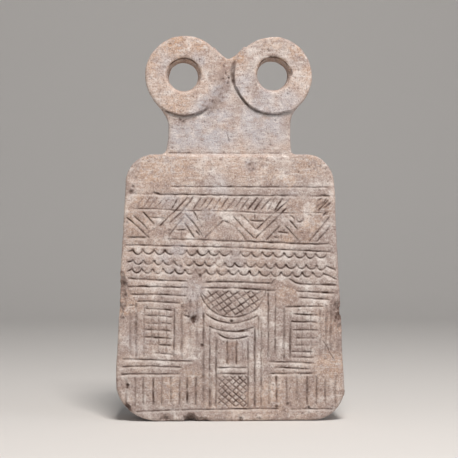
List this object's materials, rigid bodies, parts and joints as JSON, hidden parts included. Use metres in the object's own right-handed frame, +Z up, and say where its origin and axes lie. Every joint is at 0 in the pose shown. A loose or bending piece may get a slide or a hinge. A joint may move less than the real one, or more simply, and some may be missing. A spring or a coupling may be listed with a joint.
{
  "type": "sandstone idol",
  "caption": "Carved sandstone slab idol with a short neck, paired pierced eye rings and incised bands, windows and a doorway on its flat front. Stands on its underside.",
  "frame": {"origin": "middle of the underside, on the surface that the idol stands on", "axes": "+Z up towards the eye rings, -Y out of the carved front, +X to the viewer's right"},
  "size_m": [0.1732, 0.0494, 0.2905],
  "materials": {
    "sandstone": "dry matt, fine grained, worn"
  },
  "bodies": {
    "root": {"idol": "sandstone"}
  },
  "joints": []
}
